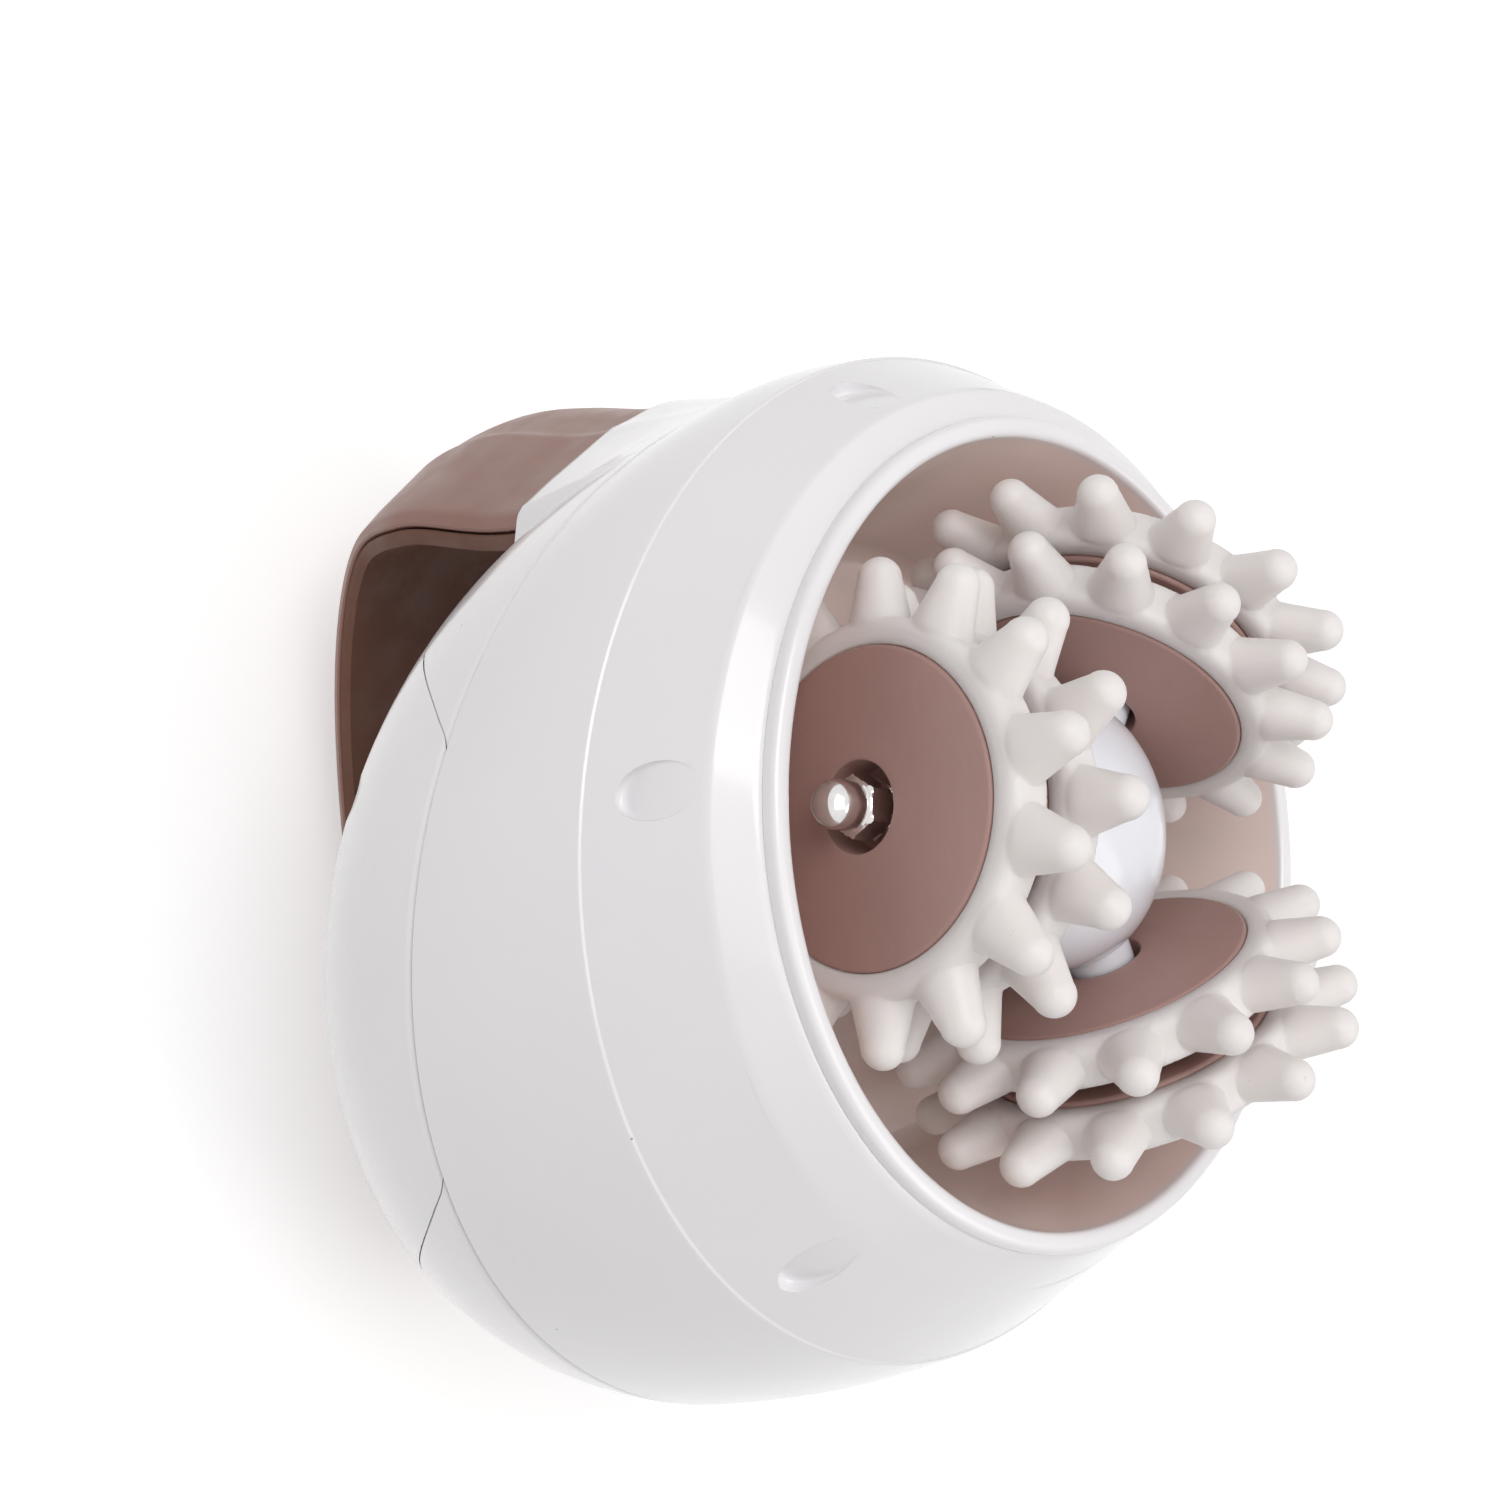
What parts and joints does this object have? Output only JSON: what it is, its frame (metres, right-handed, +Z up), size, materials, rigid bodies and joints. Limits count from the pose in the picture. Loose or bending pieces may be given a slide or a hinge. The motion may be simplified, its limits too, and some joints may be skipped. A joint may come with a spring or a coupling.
{
  "type": "hand-held roller massager",
  "caption": "Round hand-held body massager: studded rollers orbit on a geared rotor in an open bowl, with a strap handle over the palm side.",
  "frame": {"origin": "middle of the flat crown of the strap handle, which the massager stands on", "axes": "+Z up through the body to the rollers, X across the strap, Y along the strap"},
  "size_m": [0.1478, 0.161, 0.1773],
  "materials": {
    "gloss_white": "glossy white plastic",
    "taupe_plastic": "satin taupe plastic",
    "brown_grip": "satin brown plastic",
    "white_silicone": "soft translucent white silicone",
    "hub_white": "glossy white plastic",
    "chrome": "polished chrome",
    "steel": "plain steel",
    "gear_nylon": "natural nylon",
    "board_green": "green board",
    "inlet_black": "black plastic"
  },
  "bodies": {
    "body": {"front_housing": "gloss_white", "roller_bowl": "gloss_white", "rear_housing": "gloss_white", "handle_collar_upper": "gloss_white", "handle_collar_lower": "gloss_white", "handle_shell": "taupe_plastic", "handle_grip": "brown_grip", "housing_screw_1": "steel", "housing_screw_2": "steel", "housing_screw_3": "steel", "housing_screw_4": "steel", "handle_screw_1": "steel", "handle_screw_2": "steel", "handle_screw_3": "steel", "handle_screw_4": "steel", "plate_screw_1": "steel", "plate_screw_2": "steel", "plate_screw_3": "steel", "gear_plate": "steel", "upper_bearing": "steel", "lower_bearing": "steel", "gear_pin": "steel", "motor": "steel", "circuit_board": "board_green", "power_inlet": "inlet_black", "switch_case": "taupe_plastic"},
    "rotor": {"hub_cap": "hub_white", "hub_base": "hub_white", "rotor_shaft": "steel", "drive_gear": "gear_nylon", "axle_1": "steel", "axle_sleeve_1": "hub_white", "roller_spacer_1": "steel", "cap_nut_1": "chrome", "axle_2": "steel", "axle_sleeve_2": "hub_white", "roller_spacer_2": "steel", "cap_nut_2": "chrome", "axle_3": "steel", "axle_sleeve_3": "hub_white", "roller_spacer_3": "steel", "cap_nut_3": "chrome"},
    "inner_roller_1": {"inner_core_1": "taupe_plastic", "inner_tyre_1": "white_silicone"},
    "outer_roller_1": {"outer_core_1": "taupe_plastic", "outer_tyre_1": "white_silicone"},
    "inner_roller_2": {"inner_core_2": "taupe_plastic", "inner_tyre_2": "white_silicone"},
    "outer_roller_2": {"outer_core_2": "taupe_plastic", "outer_tyre_2": "white_silicone"},
    "inner_roller_3": {"inner_core_3": "taupe_plastic", "inner_tyre_3": "white_silicone"},
    "outer_roller_3": {"outer_core_3": "taupe_plastic", "outer_tyre_3": "white_silicone"},
    "reduction_gear": {"compound_gear": "gear_nylon"},
    "motor_shaft": {"motor_pinion": "gear_nylon"},
    "switch": {"switch_rocker": "gloss_white"}
  },
  "joints": [
    {"name": "rotor_spin", "type": "hinge", "parent": "body", "child": "rotor", "pos_m": [0, -0.003, 0.1485], "axis": [0, 0, 1], "continuous": true},
    {"name": "inner_roller_1_spin", "type": "hinge", "parent": "rotor", "child": "inner_roller_1", "pos_m": [0.02427, -0.007, 0.14545], "axis": [0.9867, -0.1625, 0], "continuous": true},
    {"name": "outer_roller_1_spin", "type": "hinge", "parent": "rotor", "child": "outer_roller_1", "pos_m": [0.0335, -0.00852, 0.14545], "axis": [0.9867, -0.1625, 0], "continuous": true},
    {"name": "inner_roller_2_spin", "type": "hinge", "parent": "rotor", "child": "inner_roller_2", "pos_m": [-0.00868, 0.02002, 0.14545], "axis": [-0.3527, 0.9358, 0], "continuous": true},
    {"name": "outer_roller_2_spin", "type": "hinge", "parent": "rotor", "child": "outer_roller_2", "pos_m": [-0.01197, 0.02877, 0.14545], "axis": [-0.3527, 0.9358, 0], "continuous": true},
    {"name": "inner_roller_3_spin", "type": "hinge", "parent": "rotor", "child": "inner_roller_3", "pos_m": [-0.0156, -0.02202, 0.14545], "axis": [-0.6341, -0.7733, 0], "continuous": true},
    {"name": "outer_roller_3_spin", "type": "hinge", "parent": "rotor", "child": "outer_roller_3", "pos_m": [-0.02153, -0.02925, 0.14545], "axis": [-0.6341, -0.7733, 0], "continuous": true},
    {"name": "reduction_gear_spin", "type": "hinge", "parent": "body", "child": "reduction_gear", "pos_m": [0.02598, 0.012, 0.0955], "axis": [0, 0, 1], "continuous": true},
    {"name": "motor_spin", "type": "hinge", "parent": "body", "child": "motor_shaft", "pos_m": [0.00291, 0.01862, 0.0905], "axis": [0, 0, 1], "continuous": true},
    {"name": "switch_tilt", "type": "hinge", "parent": "body", "child": "switch", "pos_m": [-0.06328, -0.00107, 0.06733], "axis": [-0.6072, 0.1584, 0.7786], "range_deg": [0, 16]}
  ],
  "couplings": [
    {"joint": "reduction_gear_spin", "follows": "rotor_spin", "ratio": -4},
    {"joint": "motor_spin", "follows": "rotor_spin", "ratio": 12}
  ]
}
